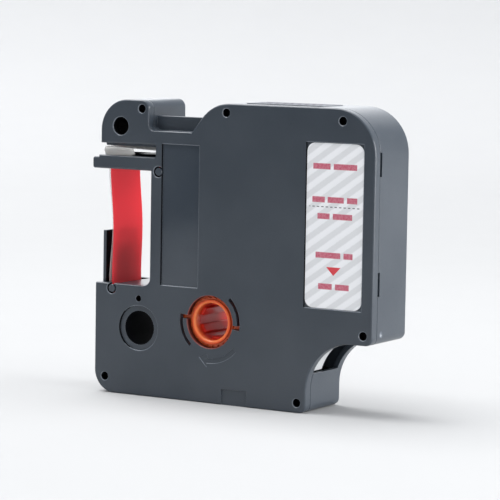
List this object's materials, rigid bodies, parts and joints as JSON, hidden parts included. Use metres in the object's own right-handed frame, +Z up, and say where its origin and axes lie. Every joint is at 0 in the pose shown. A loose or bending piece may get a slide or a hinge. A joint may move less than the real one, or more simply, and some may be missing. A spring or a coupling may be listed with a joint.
{
  "type": "label tape cassette",
  "caption": "Label tape cassette with a two-part case, a tape roll, an ink ribbon from a supply spool to a ratcheted take-up hub, and an open print mouth.",
  "frame": {"origin": "middle of the footprint, on the ground plane, with the cassette standing on its long edge", "axes": "+X to the right as the labelled front cover is seen, +Y from the front cover to the rear case, +Z up"},
  "size_m": [0.075, 0.0162, 0.0692],
  "materials": {
    "case_plastic": "satin slate grey moulding",
    "core_plastic": "satin black moulding",
    "hub_plastic": "semi-gloss orange moulding, slightly translucent",
    "ink_film": "translucent red ink film",
    "label_tape": "clear label tape on a white backing",
    "clear_film": "thin clear spacer film",
    "paper_label": "coated label stock with a striped ground"
  },
  "bodies": {
    "case": {"front_cover": "case_plastic", "rear_case": "case_plastic", "upper_guide_pin": "case_plastic", "lower_guide_pin": "case_plastic", "front_label": "paper_label", "top_label": "paper_label", "label_tape_run": "label_tape", "ribbon_run": "ink_film", "slip_film_front": "clear_film", "slip_film_rear": "clear_film"},
    "tape_reel": {"label_tape_core": "core_plastic", "label_tape_roll": "label_tape"},
    "ribbon_supply": {"ribbon_supply_core": "core_plastic", "ribbon_supply_roll": "ink_film"},
    "ribbon_takeup": {"takeup_hub": "hub_plastic", "takeup_roll": "ink_film"}
  },
  "joints": [
    {"name": "tape_reel_spin", "type": "hinge", "parent": "case", "child": "tape_reel", "pos_m": [0.0148, 0, 0.0423], "axis": [0, 1, 0], "continuous": true},
    {"name": "ribbon_supply_spin", "type": "hinge", "parent": "case", "child": "ribbon_supply", "pos_m": [-0.0126, 0, 0.0455], "axis": [0, 1, 0], "continuous": true},
    {"name": "takeup_spin", "type": "hinge", "parent": "case", "child": "ribbon_takeup", "pos_m": [-0.00465, 0, 0.0188], "axis": [0, 1, 0], "continuous": true}
  ],
  "couplings": [
    {"joint": "ribbon_supply_spin", "follows": "tape_reel_spin", "ratio": 3.1935},
    {"joint": "takeup_spin", "follows": "tape_reel_spin", "ratio": -3.3}
  ]
}
